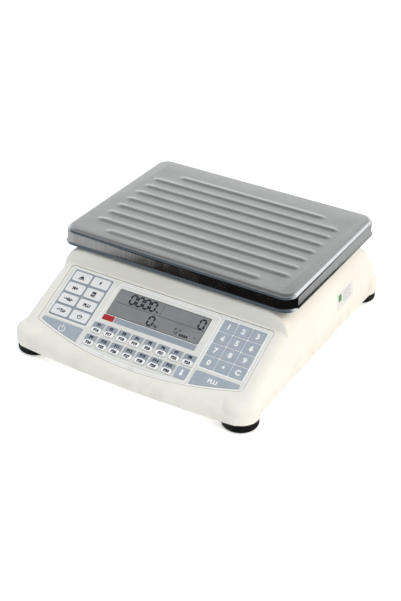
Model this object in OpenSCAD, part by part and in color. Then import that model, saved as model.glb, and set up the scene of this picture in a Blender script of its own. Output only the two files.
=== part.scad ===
// Counter scale with a stainless weighing pan on a single load cell, a moulded housing with a
// sloping keypad console, and four levelling feet.
// +X is the operator's right, +Y points away from the keypad, and z = 0 is the bench.

/* [Housing] */
// Width of the housing at its skirt
body_w = 316; // [310:1:380]
// Depth of the housing, at the middle of its bowed front and back
body_d = 370; // [350:1:444]
// Height of the flat deck under the pan
deck_z = 97.5; // [92:0.5:120]
// Height of the skirt's lower edge
skirt_z = 12; // [11:0.5:14]
// Wall of the moulded housing
wall = 3; // [2:0.1:3.6]
// How far the front and the back bow out at the middle
end_bow = 8; // [4:0.5:12]
// How far each side leans in from the skirt to the deck
side_lean = 7; // [4:0.5:12]
// Radius of the front edge, where the console turns down
front_round_r = 16; // [10:1:16]
// Slope of the display face at the back, in degrees
rear_tilt = 50; // [45:1:55]
// Radius of the round bosses over the feet
corner_boss_r = 22; // [20:0.5:24]

/* [Console] */
// Slope of the keypad, in degrees
console_tilt = 26.5; // [24:0.5:28]
// Distance from the housing's front to the lower corners of the keypad overlay
console_setback = 33.4; // [32:0.2:38]
// Height of the lower corners of the keypad overlay
console_foot_z = 38.3; // [37:0.1:42]
// Width of the keypad overlay
panel_w = 274.8; // [270:0.2:286]
// Length of the keypad overlay up the slope, between its corners
panel_l = 81.4; // [80:0.2:84]
// How far the overlay's lower edge bows below its corners
panel_bow = 22; // [20:0.5:24]
// Thickness of the overlay with its spacer
panel_t = 1.7; // [1.5:0.1:2]
// Depth of the overlay's face below the console around it
panel_recess = 0.6; // [0.3:0.1:1]

/* [Keys] */
// Travel of a key
key_travel = 0.4; // [0.2:0.05:0.45]
// Gap around each key
key_gap = 0.25; // [0.2:0.05:0.4]
// Height of a pressed-up key above the overlay
key_proud = 0.45; // [0.2:0.05:0.8]
// Width of a number key
digit_w = 17.6; // [16:0.1:18]
// Space between rows of number keys
digit_spacing = 1.1; // [1:0.1:2.5]
// Width of a command key
command_w = 25.2; // [22:0.1:26]
// Space between rows of command keys
command_spacing = 1.8; // [1.2:0.1:3]
// Width of a function key
function_w = 15.6; // [14:0.1:16.4]
// Length of a function key up the slope
function_l = 15; // [13:0.1:16.4]

/* [Display] */
// Width of the visible glass
glass_w = 122.6; // [110:0.2:124]
// Height of the visible glass
glass_l = 34.8; // [30:0.2:36]

/* [Pan] */
// Width of the pan
pan_w = 312; // [290:1:340]
// Depth of the pan
pan_d = 231; // [200:1:240]
// Height of the pan's rim, from its lip to its top
pan_rim = 20.4; // [18:0.2:24]
// Thickness of the pan's sheet
pan_t = 0.9; // [0.8:0.1:1.5]
// Corner radius of the pan
pan_corner_r = 18; // [14:1:24]
// Outer radius of the bend between the pan's top and its rim
pan_bend_r = 5.5; // [2:0.5:8]
// Gap between the pan's lip and the deck
pan_gap = 3.4; // [2.5:0.1:5]
// Distance between the ribs
rib_pitch = 20.9; // [19:0.1:23]
// Width of a rib
rib_w = 13; // [8:0.5:14]
// How far the middle rib lies in front of the middle of the pan
rib_shift = 9.5; // [0:0.5:10]
// Height of a rib
rib_h = 1.5; // [1:0.1:2]

/* [Load cell] */
// Length of the load cell
cell_l = 130; // [120:1:150]
// Width of the load cell
cell_w = 30; // [24:1:40]
// Height of the load cell
cell_h = 22; // [20:1:26]
// Radius of the bolts that hold the load cell
cell_bolt_r = 3; // [2.5:0.5:4]
// How far the load cell lets the deck sink at full load
deck_sink = 0.6; // [0.3:0.1:0.8]

/* [Feet] */
// Radius of a foot
foot_r = 21.2; // [18:0.2:21.8]
// Height of a foot's rubber
foot_h = 11; // [9:0.5:11]
// Radius of a foot's stud
stud_r = 4; // [3:0.5:5]
// Radial clearance of the stud in its nut
stud_gap = 0.05; // [0.01:0.01:0.1]
// Height of the top of the stud
stud_top = 31; // [28:0.5:31]

/* [Hidden] */
$fn = 48;

// Colours
ivory = "#f1ece0";
steel = "#b9bcbd";
aluminium = "#c9cbcc";
rubber = "#161616";
key_blue = "#98a2ad";
key_white = "#eceef0";
board_green = "#2e6b4a";
glass_grey = "#8d8f8f";

// Cuts run this far past the faces that they open
cut = 1;
// Room left between a moulded piece and what drops into it
fit_gap = 0.4;

// Housing outline
half_w = body_w / 2;
half_d = body_d / 2;
lower_face_lean = 5;
rear_break_z = 32;
plan_corner_r = corner_boss_r;
deck_edge = 16;
front_steps = 12;
arc_steps = 6;

// Console plane: its origin is midway between the overlay's lower corners
console_y = -half_d + console_setback;
console_z = console_foot_z;
riser_gap = 2.2;
riser_foot_y = console_y + panel_l * cos(console_tilt) + riser_gap;
riser_lean = 2;

// The pan sits over the deck with a small overhang in front of the riser
pan_overhang = 0.7;
pan_front_y = riser_foot_y - pan_overhang;
pan_y = pan_front_y + pan_d / 2;
pan_lip_z = deck_z + pan_gap;
pan_top_z = pan_lip_z + pan_rim;
pan_under_z = pan_top_z - pan_t;
bend_steps = 5;
rib_count = 9;
rib_margin = 23;
end_rib_inset = 27;
long_rib_l = pan_w - 2 * rib_margin;
short_rib_l = long_rib_l - 2 * end_rib_inset;
rib_r = (rib_w * rib_w / 4 + rib_h * rib_h) / (2 * rib_h);

// Feet and the corner bosses over them
foot_inset_x = 19;
foot_inset_y = 29;
foot_x = half_w - foot_inset_x;
foot_y = half_d - foot_inset_y;
boss_top_z = 34;
nut_r = 8;
nut_top_z = 29;
nut_under_z = foot_h + 0.3;

// Base plate and what stands on it
base_t = 3;
floor_z = skirt_z + base_t;
plate_t = 2;
plate_top_z = floor_z + plate_t;
plate_w = 90;
pedestal_l = 36;
cell_z = deck_z - 57.5;
cell_top_z = cell_z + cell_h;
cell_bolt_pitch = 18;
cell_bolt_inset = 9;
bolt_head_h = 5;
bolt_head_r = cell_bolt_r * 1.7;
bolt_reach = 14;

// Pan support: a cross of arms under the deck, with four posts through it
arm_t = 8;
arm_w = 14;
arm_gap = 2.5;
support_z = deck_z - wall - arm_gap - arm_t;
support_top_z = support_z + arm_t;
post_inset = [61, 45.5];
post_x = pan_w / 2 - post_inset[0];
post_y = pan_d / 2 - post_inset[1];
post_r = 6;
post_hole_r = 9;
post_rise = 6.5;
post_top_z = deck_z + post_rise;
bumper_r = 10;
tip_r = 3.5;
tip_h = 6;

// Housing screws
screw_x = half_w - 23;
screw_inset_y = 67;
screw_ys = [-half_d + screw_inset_y, pan_y, half_d - screw_inset_y];
screw_post_r = 5;
screw_r = 2;
screw_head_r = 4;
screw_head_h = 2.2;
screw_l = 15;
pilot_gap = 0.05;

// Key fields on the console, as places along X and up the slope
key_t = panel_t - 0.5;
wedge_w = 55.6;
wedge_top = 6.2;
wedge_border = 3;
wedge_x = 104.2;
field_foot = wedge_top + 5;
field_top = panel_l - 4.2;
row_pitch = (field_top - field_foot) / 4;
digit_l = row_pitch - digit_spacing;
digit_x = 104;
digit_pitch = digit_w + 0.9;
command_l = row_pitch - command_spacing;
command_x = -102.8;
command_pitch = command_w + 1.4;
function_x = 0.9;
function_y = 13.6;
function_pitch = [function_w + 2, function_l + 2.8];
shift_at = [62.6, -3.6];
shift_size = [14.6, 14.6];
glass_top_border = 10.6;
glass_at = [0, panel_l - glass_top_border - glass_l / 2];
key_corner_r = 2.2;
overlay_corner_r = 4;
board_border = 5;
board_t = 1.6;
glass_below = 0.4;

// Display modules
module_t = 8;
module_border = 4;

// Rear window, on the sloping back
rear_top_y = half_d - lower_face_lean - (deck_z - rear_break_z) / tan(rear_tilt);
rear_window_w = 150;
rear_window_l = 46;
rear_window_t = 1;
rear_window_rise = 30;
rear_mid = [half_d - lower_face_lean - rear_window_rise / tan(rear_tilt), rear_break_z + rear_window_rise];

// Main board, battery and inlet
main_board_w = 150;
main_board_d = 72;
main_board_y = console_y + 42;
main_board_z = floor_z + 6;
battery_size = [70, 101, 47];
battery_at = [-plate_w / 2 - 5 - battery_size[0], pan_y - 15];
inlet_x = 90;
inlet_z = 24.5;
inlet_r = 5.6;
inlet_face_y = half_d - 4.5;
inlet_l = 15;

// Inward unit normal of the edge from a to b of an outline that runs anticlockwise
function inward(a, b) = let (edge = (b - a) / norm(b - a)) [-edge[1], edge[0]];

// An anticlockwise outline with every edge moved in by a distance
function inset(outline, distance) =
    let (count = len(outline))
    [for (i = [0 : count - 1])
        let (before = inward(outline[(i + count - 1) % count], outline[i]))
        let (after = inward(outline[i], outline[(i + 1) % count]))
        outline[i] + (before + after) * distance / (1 + before * after)];

// Points on an arc
function arc(centre, r, from, to, steps) =
    [for (i = [0 : steps])
        let (angle = from + (to - from) * i / steps)
        centre + r * [cos(angle), sin(angle)]];

// Height of the console's face at a distance along Y
function console_face_z(y) =
    console_z + panel_recess / cos(console_tilt) + (y - console_y) * tan(console_tilt);

// Housing seen from its right side, as [y, z]
function side_profile(bottom) =
    let (round_y = -half_d + front_round_r)
    let (round_z = console_face_z(round_y) - front_round_r / cos(console_tilt))
    concat(
        [[-half_d, bottom], [half_d, bottom], [half_d - lower_face_lean, rear_break_z],
            [rear_top_y, deck_z], [riser_foot_y + riser_lean, deck_z],
            [riser_foot_y, console_face_z(riser_foot_y)]],
        arc([round_y, round_z], front_round_r, 90 + console_tilt, 175, arc_steps));

// Housing seen from the front, as [x, z]
function front_profile(bottom) =
    let (shoulder_x = half_w - side_lean, edge_x = shoulder_x - deck_edge)
    [[-half_w, bottom], [half_w, bottom], [shoulder_x, deck_z - deck_edge], [edge_x, deck_z],
        [-edge_x, deck_z], [-shoulder_x, deck_z - deck_edge]];

// Housing seen from above, as [x, y]
function bow_y(x) = half_d - end_bow * pow(x / half_w, 2);
function plan_outline() =
    let (corner_x = half_w - plan_corner_r, corner_y = bow_y(corner_x) - plan_corner_r)
    concat(
        [for (i = [0 : front_steps])
            let (x = corner_x * (2 * i / front_steps - 1)) [x, -bow_y(x)]],
        arc([corner_x, -corner_y], plan_corner_r, -75, 0, arc_steps),
        arc([corner_x, corner_y], plan_corner_r, 0, 75, arc_steps),
        [for (i = [0 : front_steps])
            let (x = corner_x * (1 - 2 * i / front_steps)) [x, bow_y(x)]],
        arc([-corner_x, corner_y], plan_corner_r, 105, 180, arc_steps),
        arc([-corner_x, -corner_y], plan_corner_r, 180, 255, arc_steps));

// Solid form of the housing, smaller all round by a distance
module housing_form(distance, bottom) {
    intersection() {
        rotate([90, 0, 90])
            translate([0, 0, -body_w])
                linear_extrude(2 * body_w) polygon(inset(side_profile(bottom), distance));
        rotate([90, 0, 0])
            translate([0, 0, -body_d])
                linear_extrude(2 * body_d) polygon(inset(front_profile(bottom), distance));
        translate([0, 0, bottom - cut])
            linear_extrude(deck_z + 2 * cut - bottom) polygon(inset(plan_outline(), distance));
    }
}

module at_feet() {
    for (side = [-1, 1], end = [-1, 1])
        translate([side * foot_x, end * foot_y, 0]) children();
}

module at_screws() {
    for (side = [-1, 1], y = screw_ys)
        translate([side * screw_x, y, 0]) children();
}

module at_posts() {
    for (side = [-1, 1], end = [-1, 1])
        translate([side * post_x, pan_y + end * post_y, 0]) children();
}

// Puts what follows on the console: X across, Y up the slope, Z out of the overlay's face
module on_console(z = 0) {
    translate([0, console_y, console_z])
        rotate([console_tilt, 0, 0])
            translate([0, 0, z]) children();
}

// Puts what follows on the sloping back: Y up the slope, Z out of the housing's face
module on_rear(z = 0) {
    translate([0, rear_mid[0], rear_mid[1]])
        rotate([0, 0, 180])
            rotate([rear_tilt, 0, 0])
                translate([0, 0, z]) children();
}

module rounded_rect(w, l, r) {
    square([w - 2 * r, l], center = true);
    square([w, l - 2 * r], center = true);
    for (x = [-1, 1], y = [-1, 1])
        translate([x * (w / 2 - r), y * (l / 2 - r)]) circle(r);
}

module rounded_block(w, l, h, r) {
    linear_extrude(h) rounded_rect(w, l, r);
}

// Outline of the keypad overlay, smaller all round by a border
module panel_outline(border) {
    bow_r = (panel_w * panel_w / 4 + panel_bow * panel_bow) / (2 * panel_bow);
    full_l = panel_l + panel_bow;
    intersection() {
        translate([0, panel_l - full_l / 2])
            rounded_rect(panel_w - 2 * border, full_l - 2 * border, overlay_corner_r);
        translate([0, bow_r - panel_bow]) circle(bow_r - border, $fn = 180);
    }
}

module glass_outline(grow = 0) {
    translate(glass_at) rounded_rect(glass_w + 2 * grow, glass_l + 2 * grow, 1.5);
}

// Key outlines
function row_y(row) = field_top - (row + 0.5) * row_pitch;

module digit_outline(column, row, grow = 0) {
    translate([digit_x + (column - 1) * digit_pitch, row_y(row)])
        rounded_rect(digit_w + 2 * grow, digit_l + 2 * grow, 1);
}

module command_outline(column, row, grow = 0) {
    translate([command_x + (column - 0.5) * command_pitch, row_y(row)])
        rounded_rect(command_w + 2 * grow, command_l + 2 * grow, key_corner_r);
}

module function_outline(column, row, grow = 0) {
    translate([function_x + (column - 3.5) * function_pitch[0], function_y - row * function_pitch[1]])
        rounded_rect(function_w + 2 * grow, function_l + 2 * grow, key_corner_r);
}

module shift_outline(grow = 0) {
    translate(shift_at)
        rounded_rect(shift_size[0] + 2 * grow, shift_size[1] + 2 * grow, key_corner_r);
}

module wedge_outline(side, grow = 0) {
    wedge_l = 24;
    intersection() {
        translate([side * wedge_x, wedge_top - wedge_l / 2])
            rounded_rect(wedge_w + 2 * grow, wedge_l + 2 * grow, key_corner_r);
        panel_outline(wedge_border - grow);
    }
}

module all_key_outlines(grow) {
    for (column = [0 : 2], row = [0 : 3]) digit_outline(column, row, grow);
    for (column = [0 : 1], row = [0 : 3]) command_outline(column, row, grow);
    for (column = [0 : 7]) function_outline(column, 0, grow);
    for (column = [0 : 6]) function_outline(column, 1, grow);
    for (side = [-1, 1]) wedge_outline(side, grow);
    shift_outline(grow);
}

// A key: its face stands proud of the overlay, and its underside waits above the circuit
module key_solid() {
    on_console(-key_t) linear_extrude(key_t + key_proud) children();
}

module digit_key(place, tone = key_blue) {
    color(tone) key_solid() digit_outline(place % 3, floor(place / 3));
}

module command_key(number) {
    color(key_white) key_solid() command_outline((number - 1) % 2, floor((number - 1) / 2));
}

module function_key(number) {
    color(key_white) key_solid() function_outline((number - 1) % 8, floor((number - 1) / 8));
}

module shift_key() {
    color(key_blue) key_solid() shift_outline();
}

module power_key() {
    color(key_blue) key_solid() wedge_outline(-1);
}

module lookup_key() {
    color(key_blue) key_solid() wedge_outline(1);
}

// Upper housing: skirt, console, deck and back in one moulding, open underneath
module upper_housing() {
    frame_t = 4.2;
    frame_border = -4;
    post_foot_z = floor_z;
    color(ivory)
    difference() {
        union() {
            difference() {
                union() {
                    housing_form(0, skirt_z);
                    at_feet() corner_boss(corner_boss_r, skirt_z, boss_top_z);
                }
                housing_form(wall, skirt_z - 20);
                at_feet() corner_boss(corner_boss_r - wall, skirt_z - cut, nut_top_z + 1);
            }
            intersection() {
                housing_form(wall / 2, skirt_z);
                union() {
                    on_console(-frame_t) linear_extrude(frame_t) panel_outline(frame_border);
                    translate([0, 0, post_foot_z])
                        at_screws() cylinder(h = deck_z, r = screw_post_r);
                }
            }
        }
        on_console(-panel_t) linear_extrude(20) panel_outline(-0.3);
        on_console(-20) linear_extrude(40) panel_outline(board_border);
        at_posts() translate([0, 0, deck_z - 20]) cylinder(h = 40, r = post_hole_r);
        translate([0, 0, floor_z - cut]) at_screws() cylinder(h = screw_l, r = screw_r + pilot_gap);
        on_rear(-rear_window_t)
            rounded_block(rear_window_w + 2 * fit_gap, rear_window_l + 2 * fit_gap, 20, 4);
        on_rear(-20)
            rounded_block(glass_w + 2 * fit_gap, glass_l + 2 * fit_gap, 40, 2);
        translate([inlet_x, half_d + 10, inlet_z])
            rotate([90, 0, 0]) cylinder(h = 40, r = inlet_r + fit_gap / 2);
    }
}

// Round boss over a foot, with a domed cone on top
module corner_boss(r, bottom, top) {
    dome_h = 5;
    translate([0, 0, bottom]) cylinder(h = top - dome_h - bottom, r = r);
    translate([0, 0, top - dome_h]) cylinder(h = dome_h, r1 = r, r2 = r - dome_h * 1.4);
}

// Lower housing: floor with foot nuts, board pillars, battery walls and screw pockets
module lower_housing() {
    pillar_r = 4;
    cage = 1.6;
    color(ivory)
    difference() {
        union() {
            intersection() {
                housing_form(wall + fit_gap, skirt_z - 20);
                translate([-body_w, -body_d, skirt_z]) cube([2 * body_w, 2 * body_d, base_t]);
            }
            at_feet() translate([0, 0, nut_under_z]) cylinder(h = nut_top_z - nut_under_z, r = nut_r);
            for (x = [-1, 1], y = [-1, 1])
                translate([x * (main_board_w / 2 - 6), main_board_y + y * (main_board_d / 2 - 6), skirt_z])
                    cylinder(h = main_board_z - skirt_z, r = pillar_r);
            translate([battery_at[0] - cage - fit_gap, battery_at[1] - cage - fit_gap, skirt_z])
                cube([battery_size[0] + 2 * (cage + fit_gap), battery_size[1] + 2 * (cage + fit_gap), 9]);
        }
        translate([battery_at[0] - fit_gap, battery_at[1] - fit_gap, floor_z])
            cube([battery_size[0] + 2 * fit_gap, battery_size[1] + 2 * fit_gap, 20]);
        at_feet() translate([0, 0, -cut]) cylinder(h = deck_z, r = stud_r + stud_gap);
        at_screws() {
            translate([0, 0, skirt_z - cut]) cylinder(h = base_t + 2 * cut, r = screw_r + 0.3);
            translate([0, 0, skirt_z - cut]) cylinder(h = screw_head_h + cut, r = screw_head_r + 0.3);
        }
    }
}

// Chassis plate: steel plate with the pedestal that holds the fixed end of the load cell
module chassis_plate() {
    color(steel)
    difference() {
        union() {
            translate([-plate_w / 2, pan_y - cell_l / 2 - 10, floor_z])
                cube([plate_w, cell_l + 20, plate_t]);
            translate([-cell_w / 2, pan_y + cell_l / 2 - pedestal_l, floor_z])
                cube([cell_w, pedestal_l, cell_z - floor_z]);
        }
        at_cell_end(1) translate([0, 0, cell_z - bolt_reach]) cylinder(h = deck_z, r = cell_bolt_r);
    }
}

// The two bolt places at an end of the load cell
module at_cell_end(end) {
    for (i = [0, 1])
        translate([0, pan_y + end * (cell_l / 2 - cell_bolt_inset - i * cell_bolt_pitch), 0])
            children();
}

// Load cell: beam with two joined bores across it, which make the thin places that bend
module load_cell() {
    bore_r = cell_h / 2 - 3;
    bore_y = 12;
    color(aluminium)
    difference() {
        translate([-cell_w / 2, pan_y - cell_l / 2, cell_z]) cube([cell_w, cell_l, cell_h]);
        for (side = [-1, 1])
            translate([-cell_w, pan_y + side * bore_y, cell_z + cell_h / 2])
                rotate([0, 90, 0]) cylinder(h = 2 * cell_w, r = bore_r);
        translate([-cell_w, pan_y - bore_y, cell_z + cell_h / 2 - bore_r / 2])
            cube([2 * cell_w, 2 * bore_y, bore_r]);
        for (end = [-1, 1])
            at_cell_end(end) translate([0, 0, cell_z - cut]) cylinder(h = cell_h + 2 * cut, r = cell_bolt_r);
    }
}

module cell_bolt(head_z, tip_z) {
    translate([0, 0, head_z]) cylinder(h = bolt_head_h, r = bolt_head_r);
    translate([0, 0, tip_z]) cylinder(h = head_z - tip_z, r = cell_bolt_r);
}

module cell_base_bolts() {
    color("#4a4a4c") at_cell_end(1) cell_bolt(cell_top_z, cell_z - bolt_reach);
}

module cell_deck_bolts() {
    color("#4a4a4c") at_cell_end(-1) cell_bolt(support_top_z - bolt_head_h, cell_top_z - bolt_reach);
}

// Pan support: hub on the free end of the load cell, four arms and four posts
module pan_support() {
    arm_l = norm([post_x, post_y]);
    color(aluminium)
    difference() {
        union() {
            translate([-cell_w / 2, pan_y - cell_l / 2, cell_top_z])
                cube([cell_w, pedestal_l, support_z - cell_top_z]);
            translate([-cell_w / 2, pan_y - cell_l / 2, support_z]) cube([cell_w, cell_l, arm_t]);
            for (side = [-1, 1])
                translate([0, pan_y, support_z])
                    rotate([0, 0, side * atan2(post_y, post_x)])
                        translate([-arm_l, -arm_w / 2, 0]) cube([2 * arm_l, arm_w, arm_t]);
            at_posts() {
                translate([0, 0, support_z]) cylinder(h = arm_t, r = arm_w / 2 + 2);
                translate([0, 0, support_z]) cylinder(h = post_top_z - support_z, r = post_r);
                translate([0, 0, post_top_z]) cylinder(h = tip_h, r = tip_r);
            }
        }
        at_cell_end(-1) {
            translate([0, 0, cell_top_z - cut]) cylinder(h = deck_z, r = cell_bolt_r);
            translate([0, 0, support_top_z - bolt_head_h]) cylinder(h = 20, r = bolt_head_r + 0.3);
        }
    }
}

// Rubber caps on the posts, where the pan rests
module pan_bumpers() {
    color(rubber)
    difference() {
        at_posts() translate([0, 0, post_top_z]) cylinder(h = pan_under_z - post_top_z, r = bumper_r);
        at_posts() translate([0, 0, post_top_z - cut]) cylinder(h = tip_h + cut, r = tip_r);
    }
}

// Weighing pan: pressed tray turned over, with a bent top edge and nine ribs
module weighing_pan() {
    color(steel)
    difference() {
        union() {
            translate([0, pan_y, pan_lip_z])
                rounded_block(pan_w, pan_d, pan_rim - pan_bend_r, pan_corner_r);
            pan_bend();
            pan_ribs(rib_r);
        }
        translate([0, pan_y, pan_lip_z - rib_r])
            rounded_block(pan_w - 2 * pan_t, pan_d - 2 * pan_t,
                pan_rim - pan_bend_r + rib_r, pan_corner_r - pan_t);
        translate([0, pan_y, pan_top_z - pan_bend_r - cut])
            rounded_block(pan_w - 2 * pan_bend_r, pan_d - 2 * pan_bend_r,
                pan_bend_r + cut - pan_t, pan_corner_r - pan_bend_r);
        pan_ribs(rib_r - pan_t);
    }
}

// The bend from rim to top, as nested blocks that step in along a quarter circle as they rise
module pan_bend() {
    for (i = [1 : bend_steps]) {
        rise = pan_bend_r * sin(90 * i / bend_steps);
        step_in = pan_bend_r * (1 - cos(90 * (i - 0.5) / bend_steps));
        translate([0, pan_y, pan_top_z - pan_bend_r - cut])
            rounded_block(pan_w - 2 * step_in, pan_d - 2 * step_in, rise + cut, pan_corner_r - step_in);
    }
}

// The ribs as lying cylinders that break through the pan's top, the end ones shorter
module pan_ribs(r) {
    for (i = [0 : rib_count - 1]) {
        is_end = i == 0 || i == rib_count - 1;
        rib_l = is_end ? short_rib_l : long_rib_l;
        trim = 2 * (rib_r - r);
        translate([-(rib_l - trim) / 2, pan_y - rib_shift + (i - (rib_count - 1) / 2) * rib_pitch,
                pan_top_z + rib_h - rib_r])
            rotate([0, 90, 0]) cylinder(h = rib_l - trim, r = r);
    }
}

// Keypad overlay: printed film on its spacer, with a place for every key and for the display
module keypad_overlay() {
    color("#dfe2e4")
    on_console(-panel_t)
        linear_extrude(panel_t)
            difference() {
                panel_outline(0);
                all_key_outlines(key_gap);
                glass_outline(key_gap);
            }
}

// Keypad circuit: the switch board behind the overlay, open behind the display
module keypad_circuit() {
    color(board_green)
    on_console(-panel_t - board_t)
        linear_extrude(board_t)
            difference() {
                panel_outline(board_border + fit_gap);
                glass_outline(key_gap);
            }
}

// Display module: frame, with the glass standing up into the overlay's window
module display_module(at, window_below, glass_top) {
    translate([at[0], at[1], -window_below - module_t])
        rounded_block(glass_w + 2 * module_border, glass_l + 2 * module_border, module_t, 1);
    translate([at[0], at[1], -window_below - cut])
        rounded_block(glass_w, glass_l, window_below + cut + glass_top, 1.5);
}

module lcd_module() {
    color(glass_grey) on_console() display_module(glass_at, panel_t + board_t, -glass_below);
}

module rear_display() {
    color(glass_grey) on_rear() display_module([0, 0], wall + 0.1, -rear_window_t);
}

// Rear window: film over the customer's display
module rear_window() {
    color("#dfe2e4") on_rear(-rear_window_t) rounded_block(rear_window_w, rear_window_l, rear_window_t, 4);
}

// Main board with its larger parts
module main_board() {
    color(board_green) {
        translate([-main_board_w / 2, main_board_y - main_board_d / 2, main_board_z])
            cube([main_board_w, main_board_d, board_t]);
        translate([-20, main_board_y - 8, main_board_z + board_t]) cube([14, 14, 1.6]);
        translate([20, main_board_y - 12, main_board_z + board_t]) cube([10, 24, 3.5]);
        for (x = [-60, -48, 50, 64])
            translate([x, main_board_y + 20, main_board_z + board_t]) cylinder(h = 9, r = 4);
        translate([-62, main_board_y - 34, main_board_z + board_t]) cube([26, 6, 6]);
        translate([30, main_board_y + 28, main_board_z + board_t]) cube([30, 6, 6]);
    }
}

// Battery: sealed block with two tabs
module battery() {
    tab = [5, 0.8, 6];
    color("#2b2d30")
    translate([battery_at[0], battery_at[1], floor_z]) {
        cube(battery_size);
        for (x = [12, battery_size[0] - 12 - tab[0]])
            translate([x, 8, battery_size[2]]) cube(tab);
    }
}

// Power inlet: socket for a 5.5 mm plug, with its centre pin
module power_inlet() {
    socket_r = 2.8;
    pin_r = 1;
    flange_t = 1.5;
    color(rubber)
    translate([inlet_x, inlet_face_y, inlet_z])
        rotate([90, 0, 0]) {
            difference() {
                union() {
                    cylinder(h = inlet_l, r = inlet_r);
                    translate([0, 0, inlet_l - flange_t]) cylinder(h = flange_t, r = inlet_r + 2);
                }
                translate([0, 0, -cut]) cylinder(h = inlet_l - 4, r = socket_r);
            }
            translate([0, 0, 1]) cylinder(h = inlet_l - 4, r = pin_r);
        }
}

// Screws that hold the two housings together
module housing_screws() {
    color(steel)
    at_screws() {
        translate([0, 0, skirt_z]) cylinder(h = screw_head_h, r = screw_head_r);
        translate([0, 0, skirt_z]) cylinder(h = screw_l, r = screw_r);
    }
}

// Levelling foot: rubber moulded on a threaded stud
module foot(side, end) {
    bevel = 1.8;
    color(rubber)
    translate([side * foot_x, end * foot_y, 0]) {
        rotate_extrude()
            polygon([[0, 0], [foot_r - bevel, 0], [foot_r, bevel], [foot_r, foot_h - bevel],
                [foot_r - bevel, foot_h], [0, foot_h]]);
        translate([0, 0, foot_h - cut]) cylinder(h = stud_top - foot_h + cut, r = stud_r);
    }
}

upper_housing();
lower_housing();
chassis_plate();
load_cell();
cell_base_bolts();
cell_deck_bolts();
pan_support();
pan_bumpers();
weighing_pan();
keypad_overlay();
keypad_circuit();
lcd_module();
main_board();
rear_display();
rear_window();
battery();
power_inlet();
housing_screws();
foot(-1, -1);  // foot_front_left
foot(1, -1);  // foot_front_right
foot(-1, 1);  // foot_rear_left
foot(1, 1);  // foot_rear_right
power_key();
lookup_key();
shift_key();
digit_key(9);  // digit_key_0
digit_key(10);  // decimal_key
digit_key(11);  // clear_key
for (number = [1 : 9]) digit_key(number - 1);
for (number = [1 : 8]) command_key(number);
for (number = [1 : 15]) function_key(number);
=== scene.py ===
# Counter scale: moulded housing with a sloping keypad, a stainless weighing pan, and four levelling feet.
# Metres, +Z up, +X to the operator's right, +Y away from the keypad. Sizes below are in millimetres
# where they are named so, and MM turns them to metres.
import contextlib
import math

import bmesh
import bpy
from mathutils import Matrix, Vector


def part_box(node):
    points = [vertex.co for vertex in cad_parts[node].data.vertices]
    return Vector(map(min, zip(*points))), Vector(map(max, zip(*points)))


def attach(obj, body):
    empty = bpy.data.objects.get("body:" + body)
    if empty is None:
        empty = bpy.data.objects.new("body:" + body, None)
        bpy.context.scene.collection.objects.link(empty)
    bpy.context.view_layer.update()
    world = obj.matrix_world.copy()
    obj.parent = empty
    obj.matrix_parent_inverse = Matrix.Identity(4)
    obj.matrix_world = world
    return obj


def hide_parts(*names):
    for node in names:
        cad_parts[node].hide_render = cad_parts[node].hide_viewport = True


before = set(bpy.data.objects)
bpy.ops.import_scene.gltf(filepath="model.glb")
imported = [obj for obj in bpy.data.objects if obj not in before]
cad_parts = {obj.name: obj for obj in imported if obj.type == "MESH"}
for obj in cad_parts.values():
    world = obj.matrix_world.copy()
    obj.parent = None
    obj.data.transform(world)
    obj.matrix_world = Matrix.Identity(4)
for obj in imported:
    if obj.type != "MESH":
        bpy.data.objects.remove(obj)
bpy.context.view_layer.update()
MM = 0.001

# ---------------------------------------------------------------- Studio
# A white table in a bright room with soft light from above, and a camera that looks down at the
# keypad from the operator's right. The table isn't seen in the metal, so the pan reflects only
# the room: pale walls, a bright window at the back right, a greyer wall in front, and a lower part
# that is dark at the front right and grey at the back left.
scene = bpy.context.scene
scene.view_settings.view_transform = "Standard"


def linear(hex_code):
    """Turns an sRGB hex colour into the linear colour that a shader takes."""
    parts = [int(hex_code[i:i + 2], 16) / 255 for i in (1, 3, 5)]
    return tuple(p / 12.92 if p <= 0.04045 else ((p + 0.055) / 1.055) ** 2.4 for p in parts) + (1.0,)


def add_node(owner, kind, inputs=None, **settings):
    """Adds a shader node with its settings, and fills its inputs with values or other outputs."""
    node = owner.node_tree.nodes.new("ShaderNode" + kind)
    for name, value in settings.items():
        setattr(node, name, value)
    for socket, source in (inputs or {}).items():
        if isinstance(source, bpy.types.NodeSocket):
            owner.node_tree.links.new(source, node.inputs[socket])
        else:
            node.inputs[socket].default_value = source
    return node


def ramp(owner, factor, *stops):
    """A colour ramp through (position, hex colour) stops."""
    node = add_node(owner, "ValToRGB", {"Fac": factor})
    elements = node.color_ramp.elements
    while len(elements) < len(stops):
        elements.new(0.5)
    for element, (position, colour) in zip(elements, stops):
        element.position = position
        element.color = linear(colour)
    return node.outputs["Color"]


def between(owner, value, low, high, out_low=0.0, out_high=1.0):
    """Spreads the part of a value between two limits over an output range."""
    return add_node(owner, "MapRange", {"Value": value, "From Min": low, "From Max": high,
        "To Min": out_low, "To Max": out_high}).outputs["Result"]


def mixed(owner, share, first, second, **settings):
    """Mixes two colours, or with a blend type changes the first by the second."""
    return add_node(owner, "Mix", {0: share, 6: first, 7: second}, data_type="RGBA", **settings).outputs[2]


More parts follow.
